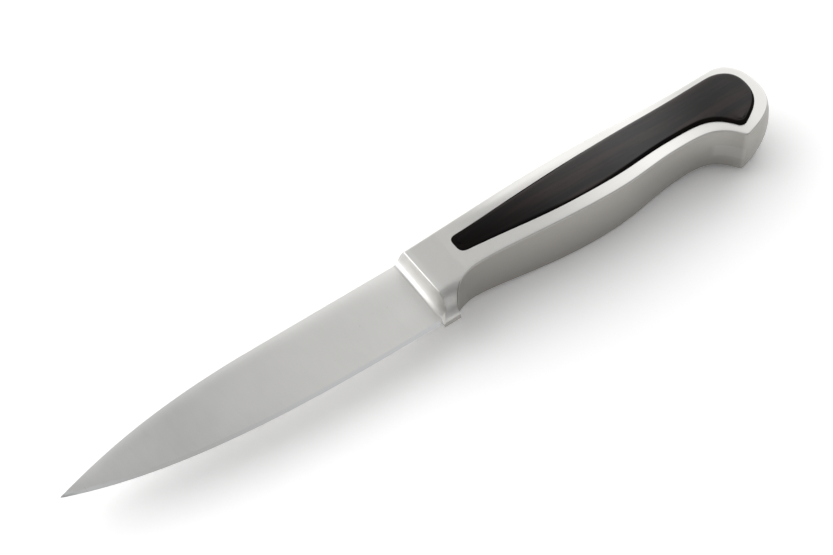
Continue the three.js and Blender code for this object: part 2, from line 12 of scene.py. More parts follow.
import bpy
import numpy as np
from bpy.props import FloatProperty, FloatVectorProperty, PointerProperty
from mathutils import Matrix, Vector


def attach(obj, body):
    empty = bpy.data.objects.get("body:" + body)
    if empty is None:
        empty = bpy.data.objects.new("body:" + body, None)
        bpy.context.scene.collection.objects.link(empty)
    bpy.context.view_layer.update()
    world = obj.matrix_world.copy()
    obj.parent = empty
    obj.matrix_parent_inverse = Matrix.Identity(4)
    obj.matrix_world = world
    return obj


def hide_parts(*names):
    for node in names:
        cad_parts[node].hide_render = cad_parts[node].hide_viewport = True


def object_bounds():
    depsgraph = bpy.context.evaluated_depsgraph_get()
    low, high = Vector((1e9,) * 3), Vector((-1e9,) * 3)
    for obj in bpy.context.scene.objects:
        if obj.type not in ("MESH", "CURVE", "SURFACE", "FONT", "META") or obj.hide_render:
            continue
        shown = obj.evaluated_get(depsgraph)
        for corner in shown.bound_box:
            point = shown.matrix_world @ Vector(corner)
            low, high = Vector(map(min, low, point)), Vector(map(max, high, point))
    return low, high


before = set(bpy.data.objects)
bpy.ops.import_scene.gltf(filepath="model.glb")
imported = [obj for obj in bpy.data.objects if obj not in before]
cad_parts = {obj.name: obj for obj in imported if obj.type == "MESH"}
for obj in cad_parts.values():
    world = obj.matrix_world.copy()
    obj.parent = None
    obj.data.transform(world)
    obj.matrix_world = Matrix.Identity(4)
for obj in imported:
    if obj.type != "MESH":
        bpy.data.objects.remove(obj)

bl_info = {
    "name": "Kitchen knife",
    "version": (1, 0, 0),
    "blender": (4, 5, 0),
    "location": "View3D > Sidebar > Knife",
    "description": "Builds a forged kitchen knife with a steel handle and wood inlays, and lights it",
    "category": "Object",
}

CAD_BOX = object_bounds()
BODY = "root"
SIDES = {"left": 1.0, "right": -1.0}
MM = 0.001
IMAGE_WIDTH = 833
SENSOR_WIDTH = 36.0

# Lengths of a smooth curve's handles, as shares of its chord
PULL = 0.43
RECESS_PULL = 0.21
SPINE_PULL = 0.39
SPINE_TIP_PULL = 0.3
EDGE_PULL = 0.4
EDGE_TIP_PULL = 0.28

# Power in the sweep from the blade into the bolster
FILLET_POWER = 2.6

# Fineness of the surfaces
CURVE_SAMPLES = 2001
CREASE_PASSES = 6
TIP_BUNCHING = 1.5
SHOULDER_SHARE = 0.9
BLADE_STATIONS = 110
FILLET_STATIONS = 64
HEEL_STATIONS = 8
GUARD_STATIONS = 3
RECESS_STATIONS = 44
TANG_STEPS = 3
WALL_STEPS = 8
ROUND_STEPS = 12
FACE_STEPS = 24
SHOULDER_STEPS = 26
FRONT_POINTS = 36
SIDE_POINTS = 120
BACK_REAR_POINTS = 20
BUTT_POINTS = 40
CORNER_POINTS = 16
BELLY_REAR_POINTS = BACK_REAR_POINTS + 2 * BUTT_POINTS
RIM_STEPS = 4
CREST_STEPS = 6
WELD_DISTANCE = 1e-7
SMALLEST_HEIGHT = 1e-8
SHARP_ANGLE = math.radians(32)

# Noise of the finishes: waves in a metre along x, y and z, and detail
BLADE_LINES = (5200.0, 240.0, 600.0), 3.0
HANDLE_LINES = (900.0, 2600.0, 2600.0), 3.0
STEEL_CLOUDS = (45.0, 70.0, 70.0), 2.0
WOOD_STREAKS = (28.0, 420.0, 420.0), 4.0
WOOD_PORES = (260.0, 3200.0, 3200.0), 2.0
GLUE_CLOUDS = (300.0, 300.0, 300.0), 3.0

# How squarely a surface faces a way where a finish or a painted shade starts and where it is full
HONED_FACING = 0.09, 0.15
LAND_FACING = 0.88, 0.97
NOSE_FACING = 0.1, 0.4
FRONT_FACING = 0.85, 1.0
SIDE_FACING = 0.25, 0.6
# Painted shade: faces towards the belly lose the wood's painted sheen and its coat
BELLY_FACING = 0.04, 0.3

# Where the bevel's finish ends, in runs of the fillet
HONED_END = 1.2

# Shares of the blade's length, and levels of noise, where a finish or a painted shade starts and where it is full
# Painted shade: the blade darkens towards its tip, and the darkening fades near the very tip
TIP_SHADING = 0.3, 0.75
TIP_FADE = 0.8, 1.0
LIGHT_GRAIN = 0.36, 0.72
OPEN_PORES = 0.58, 0.78

# Strength of the finishes, painted shade and painted sheen; a pair runs from none to all of the mask that it follows
# Painted shade: how much of the walls' darker tone the guard's nose and the bolster's front take on
NOSE_SHADE = 0.7
FRONT_SHADE = 0.35
# Painted shade: share of the tip's darkening that fades at the very tip
TIP_FADING = 0.7
# Painted sheen: share of the wood's painted sheen that fades towards the butt
SHEEN_FADING = 0.45
PORE_TONE = 0.4
STEEL_TONES = 0.035
GLUE_TONES = 0.12
# Painted sheen: strength of the light grain without and with the wood's painted sheen
GRAIN_SHEEN_TONES = 0.15, 0.8
LINE_ROUGHNESS = 0.08
CLOUD_ROUGHNESS = 0.06
WALL_ROUGHNESS = 0.08
NOSE_ROUGHNESS = 0.35
WOOD_ROUGHNESS = 0.45, 0.65
GLUE_ROUGHNESS = 0.4, 0.6
WOOD_COAT = 0.95, 0.8
WOOD_SPECULAR = 0.03
BUMP_STRENGTH = 0.12
STEEL_BUMP = 0.02 * MM
WOOD_BUMP = 0.03 * MM

# Heights and ways of a ray where a part of the sky starts and where it is full
SCREEN_HEIGHT = -0.05, 0.3
FRONT_TOP_HEIGHT = 0.3, 0.9
BEHIND_WAY = -0.15, 0.5
GAP_WAY = 0.88, 1.0
SEEING_RAYS = "Camera", "Glossy", "Transmission"

# Widths of steel round an outline, and the form of its butt and corners
Rim = namedtuple("Rim", "butt hook waist swell butt_depth butt_angle round")


def mm(value, description):
    """Property for a size, given in millimetres."""
    return lambda name: FloatProperty(
        name=name, description=description, default=value * MM, min=0.0, unit="LENGTH", precision=5
    )


def degrees(value, description):
    """Property for an angle."""
    return lambda name: FloatProperty(
        name=name, description=description, default=math.radians(value), subtype="ANGLE"
    )


def share(value, description):
    """Property for a number between none and all."""
    return lambda name: FloatProperty(
        name=name, description=description, default=value, min=0.0, max=1.0, subtype="FACTOR"
    )


def number(value, description):
    """Property for a plain number, such as a brightness, where 1 shows as white."""
    return lambda name: FloatProperty(name=name, description=description, default=value, min=0.0)


def tint(value, description):
    """Property for a colour."""
    return lambda name: FloatVectorProperty(
        name=name, description=description, default=value, min=0.0, max=1.0, subtype="COLOR"
    )


def vector(value, subtype, description):
    """Property for a place or a direction."""
    return lambda name: FloatVectorProperty(name=name, description=description, default=value, subtype=subtype)


def named(group):
    """Makes a group's properties, each named after its field."""
    fields = group.__annotations__.items()
    group.__annotations__ = {field: make(field.replace("_", " ").capitalize()) for field, make in fields}
    return group


@named
class BladeSizes(bpy.types.PropertyGroup):
    """Sizes of the blade."""

    length: mm(99.5, "Heel to tip")
    height: mm(20.5, "Spine to edge at the heel")
    spine_thickness: mm(2.3, "At the bolster")
    tip_thickness: mm(0.8, "Spine at the tip")
    bevel_thickness: mm(0.45, "At the bevel's top")
    bevel_height: mm(1.05, "Above the edge")
    bevel_share: share(0.33, "Most of the height, near the tip")
    tip_drop: mm(8.1, "Below the spine's line")
    spine_bend: mm(56.0, "Spine that bends to the tip")
    edge_flat: mm(6.0, "Straight edge at the heel")
    spine_tip_angle: degrees(18.0, "Fall of the spine at the tip")
    edge_tip_angle: degrees(23.0, "Rise of the edge at the tip")
    roll_lean: degrees(6.0, "Face at the spine, at the bolster")
    roll_tip_lean: degrees(4.5, "Face at the spine, at the tip")
    roll_width: mm(9.0, "Leaning strip at the bolster")
    roll_tip_width: mm(4.0, "Leaning strip on the front half")


@named
class BolsterSizes(bpy.types.PropertyGroup):
    """Sizes of the bolster and the finger guard."""

    thickness: mm(12.6, "Across both side faces")
    front_chamfer: mm(0.2, "Along the front edge")
    fillet_run: mm(2.4, "Sweep up from the blade")
    fillet_share: share(0.65, "Step up that the sweep takes")
    heel_setback: mm(2.1, "Guard's front before the edge")
    guard_width: mm(4.9, "Land at the bottom")
    guard_depth: mm(19.7, "Down to the land")
    guard_thickness: mm(1.8, "At the land")
    shoulder_depth: mm(13.4, "Where the side face starts to fall")
    nose_depth: mm(17.2, "Where the front draws forward")
    guard_round: mm(0.2, "Side face to rear")
    recess_length: mm(9.7, "Finger recess behind the guard")
    recess_top_depth: mm(13.4, "Recess's highest point")


@named
class HandleSizes(bpy.types.PropertyGroup):
    """Sizes of the tang and the steel scales. Places are counted from the bolster's edge."""

    length: mm(106.0, "To the butt")
    thickness: mm(17.2, "Steel at its thickest")
    butt_thickness: mm(14.2, "Steel at the butt")
    thickest_at: mm(45.0, "Place of the thickest steel")
    fullness: share(0.4, "How early it thickens")
    butt_land: mm(18.0, "Even thickness at the butt")
    hollow_depth: mm(0.3, "Side face in front of the butt")
    hollow_from_butt: mm(26.0, "To the hollow's middle")
    rim_fall: mm(0.3, "Side face from inlay to back")
    rim_fall_full: mm(30.0, "Where the fall is full")
    rim_fall_fade: mm(35.0, "Where it starts to fade")
    rim_fall_end: mm(65.0, "Where the face is level again")
    back_start: mm(0.6, "Back edge at the bolster")
    back_rise: mm(0.85, "Back edge at its highest")
    back_rise_length: mm(45.0, "Over which it rises")
    swell_at: mm(52.0, "Place of the swell")
    swell_depth: mm(16.6, "Belly at the swell")
    waist_from_butt: mm(27.5, "Butt to waist")
    waist_depth: mm(14.6, "Belly at the waist")
    hook_from_butt: mm(13.8, "Butt to the hook's corner")
    hook_depth: mm(21.5, "Corner of the hook")
    hook_butt_angle: degrees(13.0, "Butt side above level")
    hook_belly_angle: degrees(123.0, "Belly side above level")
    hook_round: mm(1.0, "Of each side, at the corner")
    butt_bend: mm(8.0, "Back that bends into the butt")
    butt_depth: mm(9.0, "Rearmost point")
    back_crown: mm(1.6, "Bulge at the middle plane")
    belly_crown: mm(0.8, "Bulge at the middle plane")
    butt_crown: mm(1.0, "Bulge at the middle plane")
    edge_radius: mm(0.4, "Side face to wall")
    tang_thickness: mm(4.0, "Between the scales")
    pocket_floor: mm(2.5, "Steel under the pocket")


@named
class InlaySizes(bpy.types.PropertyGroup):
    """Sizes of the wood inlays and the steel rim round them."""

    setback: mm(11.1, "Front end behind the bolster's edge")
    end_height: mm(5.2, "Front end, back to belly")
    end_round: mm(1.9, "Of each side, at a corner")
    weld_land: mm(2.1, "Steel between weld and inlay")
    end_slope: degrees(8.0, "Fall of the belly at the front end")
    butt_depth: mm(7.5, "Rearmost point")
    butt_angle: degrees(27.0, "Butt side of the hook above level")
    rim_back_front: mm(3.84, "Along the back, at the front")
    rim_back_rear: mm(1.7, "Along the back, at the rear")
    rim_butt: mm(2.9, "At the butt")
    rim_hook: mm(2.4, "At the hook")
    rim_waist: mm(3.3, "At the waist")
    rim_swell: mm(3.7, "At the swell")
    proud_front: mm(0.35, "Above the steel at the front end")
    proud_rest: mm(0.4, "Above the steel at the resting flat")
    proud_rear: mm(1.1, "Above the steel at the butt")
    flat_blend: mm(0.08, "Softness of the flat's ends")
    round_width: mm(1.15, "Wood's round edge")
    crest_crown: mm(0.12, "Bulge across the handle")
    fit_gap: mm(0.03, "Wood to pocket wall")
    glue_thickness: mm(0.3, "Under the wood")


@named
class FinishSettings(bpy.types.PropertyGroup):
    """Colours and polish of the materials."""

    blade_tint: tint((0.72, 0.714, 0.696), "Satin steel of the blade")
    # Painted shade: darker steel towards the blade's tip.
    tip_tint: tint((0.615, 0.615, 0.606), "Satin steel towards the tip")
    bevel_tint: tint((0.735, 0.742, 0.75), "Honed steel of the bevel")
    handle_tint: tint((0.64, 0.632, 0.612), "Satin steel of bolster and handle")
    # Painted shade: a darker tone for the walls of bolster and handle, not a colour of the steel.
    wall_tint: tint((0.375, 0.363, 0.338), "Coarser steel of the walls")
    blade_roughness: share(0.3, "Mean of the blade's steel")
    handle_roughness: share(0.32, "Mean of the handle's steel")
    wood_dark: tint((0.004, 0.0034, 0.0032), "Dark grain")
    wood_light: tint((0.036, 0.02, 0.017), "Light grain")
    wood_polish: share(0.3, "Roughness of the polished coat")
    glue_tint: tint((0.72, 0.64, 0.46), "Cured adhesive")


@named
class StageSettings(bpy.types.PropertyGroup):
    """Camera and light."""

    eye: vector((-0.1752, -0.2471, 0.4207), "TRANSLATION", "Camera in the knife's own frame")
    heading: degrees(35.9, "Of the view, from +Y towards +X")
    elevation: degrees(54.5, "Steepness of the view")
    focal_pixels: number(2100.0, "In pixels of the photograph")
    floor_size: mm(12000.0, "Side of the floor")
    floor_tint: tint((0.97, 0.97, 0.97), "White paper")
    floor_lift: number(1.33, "How much whiter it is seen than it lights the knife")
    gap: number(0.43, "Brightness between the screens, overhead")
    gap_place: vector((0.14, 0.4, 0.9), "DIRECTION", "Where the gap is")
    screen: number(2.42, "Brightness round the gap")
    horizon: number(1.28, "Brightness low behind the knife")
    front: number(0.43, "Brightness low in front")
    front_top: number(0.6, "Brightness overhead in front")


def mix(first, second, amount):
    """Straight blend from the first value to the second."""
    return first + (second - first) * amount


def ramp(values, low, high):
    """Straight step: 0 up to low, and 1 from high on."""
    return np.clip((values - low) / (high - low), 0.0, 1.0)


def smooth_step(values, low, high):
    """Eased step 3 t^2 - 2 t^3 over a ramp t."""
    t = ramp(values, low, high)
    return t * t * (3.0 - 2.0 * t)


def settle(t):
    """Rise that starts at once and ends level: 1 - (1 - t)^2."""
    return 1.0 - (1.0 - t) ** 2


def steps_up_to(count):
    """Evenly spaced shares from 0 up to, but not including, 1."""
    return np.arange(count) / count


def steps_after(count):
    """Evenly spaced shares after 0, up to 1."""
    return (np.arange(count) + 1) / count


def half_steps(count):
    """Evenly spaced shares in the middles of equal steps from 0 to 1."""
    return (np.arange(count) + 0.5) / count


def direction(turn):
    """Unit vector at an angle from +x."""
    return np.array([math.cos(turn), math.sin(turn)])


def bezier(controls, shares):
    """Points of a Bezier curve: neighbouring control points are blended by the share until one is left."""
    points = np.asarray(controls, float)[:, None, :]
    while len(points) > 1:
        points = mix(points[:-1], points[1:], shares[None, :, None])
    return points[0]


def outward_normals(controls, shares):
    """Unit normals of a Bezier curve, on the left of its way: the derivative turned by a quarter."""
    along = bezier(np.diff(controls, axis=0), shares)
    turned = np.stack([-along[:, 1], along[:, 0]], axis=1)
    return turned / np.linalg.norm(turned, axis=1, keepdims=True)


def curve_between(start, start_turn, end, end_turn, start_pull=PULL, end_pull=PULL):
    """Control points of a smooth curve that leaves one point and reaches another along given headings."""
    start, end = np.array([start, end])
    chord = np.linalg.norm(end - start)
    leaving = start + direction(start_turn) * chord * start_pull
    arriving = end - direction(end_turn) * chord * end_pull
    return np.array([start, leaving, arriving, end])


def height_on(controls, x):
    """Height of a curve over x, read off between close points on it."""
    points = bezier(controls, np.linspace(0.0, 1.0, CURVE_SAMPLES))
    points = points[np.argsort(points[:, 0])]
    return np.interp(x, points[:, 0], points[:, 1])


def at_height(outline, z):
    """Points of an outline at one height, or at a height for each."""
    return np.column_stack([outline, np.broadcast_to(z, len(outline))])


def graph(line, x):
    """Points of a line that is a function of x."""
    return np.stack([x, line(x)], axis=1)


def wall_crease(face_z, crown, radius):
    """Height at which a crowned wall turns into its round edge, and the wall's lean there.

    The round goes on from the lean, so the two settle together: z = face - radius (1 - sin lean), with
    tan lean = 2 crown / z.
    """
    z = face_z - radius
    for _ in range(CREASE_PASSES):
        z = face_z - radius * (1.0 - np.sin(np.arctan2(2.0 * crown, z)))
    return z, np.arctan2(2.0 * crown, z)


def wall_offset(z, face_z, crown, radius):
    """Outward offset of a wall: crown (1 - (z / crease)^2) up to the crease, then an arc into the side face."""
    crease, lean = wall_crease(face_z, crown, radius)
    crowned = crown * (1.0 - (z / crease) ** 2)
    sine = np.clip(np.sin(lean) + (z - crease) / radius, -1.0, 1.0)
    rounded = radius * (np.sqrt(1.0 - sine**2) - np.cos(lean))
    return np.where(z <= crease, crowned, rounded)


def wall_levels(face_z, crown, radius, from_z):
    """Heights of a wall's rows, even up to the crease and then at equal turns of the round edge."""
    crease, lean = wall_crease(face_z, crown, radius)
    wall = mix(from_z, crease, steps_up_to(WALL_STEPS))
    turns = mix(lean, math.pi / 2, np.arange(ROUND_STEPS + 1) / ROUND_STEPS)
    return np.concatenate([wall, crease + radius * (np.sin(turns) - np.sin(lean))], axis=-1)


def welded(vertices, quads, loops):
    """Merges corners that share a place and turns the surface outward, by the sign of its volume.

    A quad that loses a corner becomes a triangle, and one that shrinks to a line goes.
    """
    keys = np.round(vertices / WELD_DISTANCE).astype(np.int64)
    _, first, inverse = np.unique(keys, axis=0, return_index=True, return_inverse=True)
    inverse = inverse.reshape(-1)
    corners = inverse[quads]
    ordered = np.sort(corners, axis=1)
    whole = (ordered[:, 1:] != ordered[:, :-1]).all(axis=1)
    others = corners[~whole].tolist() + [inverse[loop].tolist() for loop in loops]
    others = [list(dict.fromkeys(face)) for face in others]
    others = [face for face in others if len(face) > 2]
    vertices, faces = vertices[first], corners[whole].tolist() + others
    volume = fan_volume(vertices, corners[whole])
    volume += sum(fan_volume(vertices, np.array([face])) for face in others)
    return vertices, faces if volume > 0 else [face[::-1] for face in faces]


def fan_volume(vertices, faces):
    """Six times the volume between the origin and faces: the sum of the triple products of fans of triangles."""
    points = vertices[faces]
    crosses = np.cross(points[:, 1:-1], points[:, 2:])
    return np.einsum("ik,ijk->", points[:, 0], crosses)


def stacked_quads(rows, columns, closed=True):
    """Quads between neighbouring rows of a grid; a closed row runs on from its last point to its first."""
    corner = np.arange(rows * columns).reshape(rows, columns)
    beside = np.roll(corner, -1, axis=1)
    quads = np.stack([corner[:-1], beside[:-1], beside[1:], corner[1:]], axis=-1)
    return (quads if closed else quads[:, :-1]).reshape(-1, 4)


class KnifeShape:
    """Edges and surfaces of the knife, as formulas over whole arrays."""

    def __init__(self, scene):
        self.blade, self.bolster = scene.knife_blade, scene.knife_bolster
        self.handle, self.inlay = scene.knife_handle, scene.knife_inlay
        blade, bolster, handle, inlay = self.blade, self.bolster, self.handle, self.inlay
        self.tip_x = -bolster.heel_setback - blade.length
        self.spine_y = handle.back_crown
        self.edge_y = self.spine_y - blade.height
        self.guard_rear = bolster.guard_width - bolster.heel_setback
        self.recess_top = self.guard_rear + bolster.recess_length
        self.weld_x = inlay.setback - inlay.weld_land
        self.waist_x = handle.length - handle.waist_from_butt
        self.tang_half = handle.tang_thickness / 2
        self.floor_z = self.tang_half + handle.pocket_floor
        self.inlay_base_z = self.floor_z + inlay.glue_thickness
        self.rest_z = handle.thickness / 2 + inlay.proud_rest

        tip = self.tip_x, self.spine_y - blade.tip_drop
        spine_start = self.tip_x + blade.spine_bend, self.spine_y
        edge_start = -bolster.heel_setback - blade.edge_flat, self.edge_y
        down, up = math.pi + blade.spine_tip_angle, math.pi - blade.edge_tip_angle
        self.spine_curve = curve_between(spine_start, math.pi, tip, down, SPINE_PULL, SPINE_TIP_PULL)
        self.edge_curve = curve_between(edge_start, math.pi, tip, up, EDGE_PULL, EDGE_TIP_PULL)
        recess_top = self.recess_top, -bolster.recess_top_depth
        self.no_rim = Rim(0.0, 0.0, 0.0, 0.0, handle.butt_depth, handle.hook_butt_angle, handle.hook_round)
        self.grip = self.belly_line(self.no_rim, recess_top, math.pi, RECESS_PULL)

        low, high = CAD_BOX
        highest_y = handle.back_rise + handle.back_crown
        self.shift = np.array([low.x - self.tip_x, high.y - highest_y, (low.z + high.z) / 2])

    def face_height(self, x):
        """Half the handle's steel: up from the bolster to the thickest place, and down to the butt.

        The way up blends an eased step with a settling rise. The way down is an eased step, less a shallow hollow
        depth (1 - u^2)^2, where u is -1 and 1 at the hollow's ends.
        """
        handle = self.handle
        rising = ramp(x, 0.0, handle.thickest_at)
        swelling = mix(smooth_step(x, 0.0, handle.thickest_at), settle(rising), handle.fullness)
        drawing_in = smooth_step(x, handle.thickest_at, handle.length - handle.butt_land)
        front = mix(self.bolster.thickness, handle.thickness, swelling) / 2
        rear = mix(handle.thickness, handle.butt_thickness, drawing_in) / 2
        from_hollow = (x - handle.length + handle.hollow_from_butt) / handle.butt_land
        hollow = np.clip(1.0 - from_hollow**2, 0.0, 1.0) ** 2
        return np.where(x < handle.thickest_at, front, rear - handle.hollow_depth * hollow)

    def back_edge(self, x):
        """Back edge of the side face: it rises and settles."""
        handle = self.handle
        return mix(handle.back_start, handle.back_rise, settle(ramp(x, 0.0, handle.back_rise_length)))

    def belly_line(self, rim, front, front_turn, front_pull):
        """Belly from the waist over the swell to a front point, set in by a rim, as a function of x."""
        handle = self.handle
        waist = self.waist_x, rim.waist - handle.waist_depth
        swell = handle.swell_at, rim.swell - handle.swell_depth
        rear = curve_between(waist, math.pi, swell, math.pi)
        fore = curve_between(swell, math.pi, front, front_turn, PULL, front_pull)
        return lambda x: np.where(x > handle.swell_at, height_on(rear, x), height_on(fore, x))

    def belly_edge(self, x):
        """Belly edge of the side face: the grip's line, and in front a quarter ellipse down to the guard."""
        reach = ramp(x, self.recess_top, self.guard_rear)
        recess = mix(-self.bolster.guard_depth, -self.bolster.recess_top_depth, np.sqrt(1.0 - reach**2))
        return np.where(x >= self.recess_top, self.grip(x), recess)

    def spine_line(self, x):
        """Spine of the blade: straight, then a curve down to the tip."""
        return np.where(x > self.spine_curve[0, 0], self.spine_y, height_on(self.spine_curve, x))

    def edge_line(self, x):
        """Cutting edge: straight at the heel, then a curve up to the tip."""
        return np.where(x > self.edge_curve[0, 0], self.edge_y, height_on(self.edge_curve, x))

    def bevel_top(self, x):
        """Upper line of the sharpened bevel: the soft minimum (a^-4 + b^-4)^-1/4 of its height and its share."""
        height = np.maximum(self.spine_line(x) - self.edge_line(x), SMALLEST_HEIGHT)
        limits = np.stack([np.full_like(height, self.blade.bevel_height), self.blade.bevel_share * height])
        return self.edge_line(x) + np.sum(limits**-4.0, axis=0) ** -0.25

    def blade_half(self, x, y):
        """Half the blade: a straight taper from spine to bevel, less a roll along the spine.

        The roll is width / 3 tan(lean) (1 - t)^3, so it leans by just that angle at the spine. Its width shrinks
        and settles over the rear half of the blade.
        """
        blade = self.blade
        to_tip = ramp(x, 0.0, self.tip_x)
        below_spine = self.spine_line(x) - y
        height = np.maximum(self.spine_line(x) - self.bevel_top(x), SMALLEST_HEIGHT)
        spine_half = mix(blade.spine_thickness, blade.tip_thickness, to_tip) / 2
        taper = mix(spine_half, blade.bevel_thickness / 2, ramp(below_spine, 0.0, height))
        shrinking = settle(ramp(to_tip, 0.0, 0.5))
        width = np.minimum(mix(blade.roll_width, blade.roll_tip_width, shrinking), height)
        lean = mix(blade.roll_lean, blade.roll_tip_lean, to_tip)
        return taper - width / 3.0 * np.tan(lean) * (1.0 - ramp(below_spine, 0.0, width)) ** 3

    def above_guard(self, y):
        """How far a height is up from the guard's land to the full side face: 10 t^3 - 15 t^4 + 6 t^5."""
        t = ramp(y, -self.bolster.guard_depth, -self.bolster.shoulder_depth)
        return t**3 * (10.0 - 15.0 * t + 6.0 * t**2)

    def guard_half(self, y):
        """Half the guard: an eased fall from the bolster's side face to the thin land."""
        return mix(self.bolster.guard_thickness, self.bolster.thickness, self.above_guard(y)) / 2

    def nose_reach(self, x, y):
        """How far the front edge is drawn forward into the nose: straight from the nose's start to the land.

        The edge takes its neighbours along, from none at the heel over all at the edge to none at the guard's rear.
        """
        bolster = self.bolster
        down = ramp(y, -bolster.nose_depth, -bolster.guard_depth)
        taken = np.interp(x, (-bolster.heel_setback, 0.0, self.guard_rear), (0.0, 1.0, 0.0))
        return bolster.heel_setback * down * taken

    def bolster_face(self, x, y):
        """Side face of the bolster: the handle's thickness, which the guard's form draws in up to the weld."""
        full = mix(self.above_guard(y), 1.0, smooth_step(x, self.guard_rear, self.weld_x))
        return mix(self.bolster.guard_thickness / 2, self.face_height(x), full)

    def swept_face(self, x, y):
        """Face of the blade with a sweep that climbs into the bolster.

        The sweep is rise (1 - sqrt(1 - t^power)): flat at its foot and upright at the bolster.
        """
        bolster = self.bolster
        thin = self.blade_half(x, y)
        rise = bolster.fillet_share * (self.guard_half(y) - thin)
        along = ramp(x, -bolster.fillet_run, 0.0)
        return thin + rise * (1.0 - np.sqrt(1.0 - along**FILLET_POWER))

    def back_wall(self, x, top):
        """Back of the sections, up to a top: the blade's flat spine, eased into the bolster's crowned wall."""
        handle = self.handle
        face_z = self.bolster_face(x, self.back_edge(x))
        above_tang = wall_levels(face_z, handle.back_crown, handle.edge_radius, self.tang_half)
        in_tang = np.broadcast_to(self.tang_half * steps_up_to(TANG_STEPS), (len(x), TANG_STEPS))
        z = np.minimum(np.concatenate([in_tang, above_tang], axis=1), top)
        wall = self.back_edge(x) + wall_offset(z, face_z, handle.back_crown, handle.edge_radius)
        return mix(self.spine_line(x), wall, smooth_step(x, -self.bolster.fillet_run, 0.0)), z

    def belly_wall(self, x, face):
        """Belly of the sections, down to the middle plane: bevel, guard land or the recess's rounded wall."""
        last = TANG_STEPS + WALL_STEPS + ROUND_STEPS
        down = np.arange(last + 1) / last
        bevel_y = mix(self.bevel_top(x), self.edge_line(x), down)
        bevel_z = face(x, self.bevel_top(x)) * (1.0 - down)
        low = self.belly_edge(x)
        face_z = face(x, low)
        growing = ramp(x, self.guard_rear, self.weld_x)
        radius = np.minimum(mix(self.bolster.guard_round, self.handle.edge_radius, growing), face_z / 2)
        from_z = np.minimum(self.tang_half, face_z / 2)
        in_tang = from_z * steps_up_to(TANG_STEPS)
        wall_z = np.concatenate([in_tang, wall_levels(face_z, 0.0, radius, from_z)], axis=1)[:, ::-1]
        wall_y = low - wall_offset(wall_z, face_z, 0.0, radius)
        on_blade = x < -self.bolster.heel_setback
        return np.where(on_blade, bevel_y, wall_y), np.where(on_blade, bevel_z, wall_z)

    def sections(self, stations, face, cut=0.0):
        """Cross-sections of blade or bolster: back wall, side face and belly wall, then their mirror image."""
        x = np.asarray(stations, float)[:, None]
        on_bolster = face == self.bolster_face
        top = face(x, self.back_edge(x) if on_bolster else self.spine_line(x)) - cut
        back_y, back_z = self.back_wall(x, top)
        belly_y, belly_z = self.belly_wall(x, face)
        start, end = back_y[:, -1:], belly_y[:, :1]
        shoulder = np.maximum(-self.bolster.shoulder_depth, mix(start, end, SHOULDER_SHARE))
        upper_face = mix(start, shoulder, steps_up_to(FACE_STEPS)[1:])
        side_y = np.concatenate([upper_face, mix(shoulder, end, steps_up_to(SHOULDER_STEPS))], axis=1)
        y = np.concatenate([back_y, side_y, belly_y], axis=1)
        side_z = face(x, side_y) - cut * smooth_step(side_y, -self.bolster.guard_depth, -self.bolster.nose_depth)
        z = np.concatenate([back_z, side_z, belly_z], axis=1)
        y = np.concatenate([y, y[:, -2:0:-1]], axis=1)
        z = np.concatenate([z, -z[:, -2:0:-1]], axis=1)
        return np.stack([x - self.nose_reach(x, y), y, z], axis=-1)

    def forging(self):
        """Blade, bolster and tang as one closed shell.

        Sections are lofted from the tip to the weld. Behind it the tang's wall goes on between the middle rows,
        and flat faces close the bolster's end above and below the tang, and the tang's two sides.
        """
        bolster = self.bolster
        heel, fillet = -bolster.heel_setback, -bolster.fillet_run
        on_blade = mix(self.tip_x, fillet, steps_up_to(BLADE_STATIONS)[1:] ** TIP_BUNCHING)
        to_heel = mix(fillet, heel - bolster.front_chamfer / 2, steps_up_to(HEEL_STATIONS))
        turns = np.linspace(math.asin((heel - fillet) / -fillet), math.pi / 2, FILLET_STATIONS)
        in_fillet = fillet * (1.0 - np.sin(turns))
        on_guard = mix(bolster.front_chamfer, self.guard_rear, steps_up_to(GUARD_STATIONS))
        weld_turn = math.acos((self.recess_top - self.weld_x) / bolster.recess_length)
        in_recess = self.recess_top - bolster.recess_length * np.cos(np.linspace(0.0, weld_turn, RECESS_STATIONS))
        tip = np.array([[self.tip_x, self.spine_y - self.blade.tip_drop, 0.0]])
        swept = self.sections(np.concatenate([on_blade, to_heel, in_fillet]), self.swept_face)
        rings = np.concatenate([
            np.broadcast_to(tip, (1, swept.shape[1], 3)),
            swept,
            self.sections([0.0], self.bolster_face, bolster.front_chamfer),
            self.sections(on_guard, self.bolster_face),
            self.sections(in_recess, self.bolster_face),
        ])
        rows, columns = rings.shape[:2]
        first_end = (rows - 1) * columns
        half = columns // 2
        upper_end = first_end + np.arange(TANG_STEPS, half - TANG_STEPS + 1)
        lower_end = first_end + np.arange(half + TANG_STEPS, columns - TANG_STEPS + 1)
        levels = self.tang_half * np.arange(-TANG_STEPS, TANG_STEPS + 1) / TANG_STEPS
        tang = np.stack([self.wall_row(level) for level in levels])
        first_tang = rows * columns
        tang_columns = tang.shape[1]
        tang_quads = first_tang + stacked_quads(len(levels), tang_columns, closed=False)
        tang_right = first_tang + np.arange(tang_columns)
        tang_left = tang_right + (len(levels) - 1) * tang_columns
        vertices = np.concatenate([rings.reshape(-1, 3), tang.reshape(-1, 3)])
        quads = np.concatenate([stacked_quads(rows, columns), tang_quads])
        return self.placed(welded(vertices, quads, [upper_end, lower_end, tang_left, tang_right[::-1]]))

    def placed(self, shell):
        """Moves a shell from the knife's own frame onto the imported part."""
        vertices, faces = shell
        return vertices + self.shift, faces

    def hook_corner(self, inset):
        """Corner of the hook, moved in from both of its sides: along their bisector, by inset / sin(half angle)."""
        handle = self.handle
        inward = direction(handle.hook_butt_angle) + direction(handle.hook_belly_angle)
        half_angle = (handle.hook_belly_angle - handle.hook_butt_angle) / 2
        corner = np.array([handle.length - handle.hook_from_butt, -handle.hook_depth])
        return corner + inward / np.linalg.norm(inward) * inset / math.sin(half_angle)

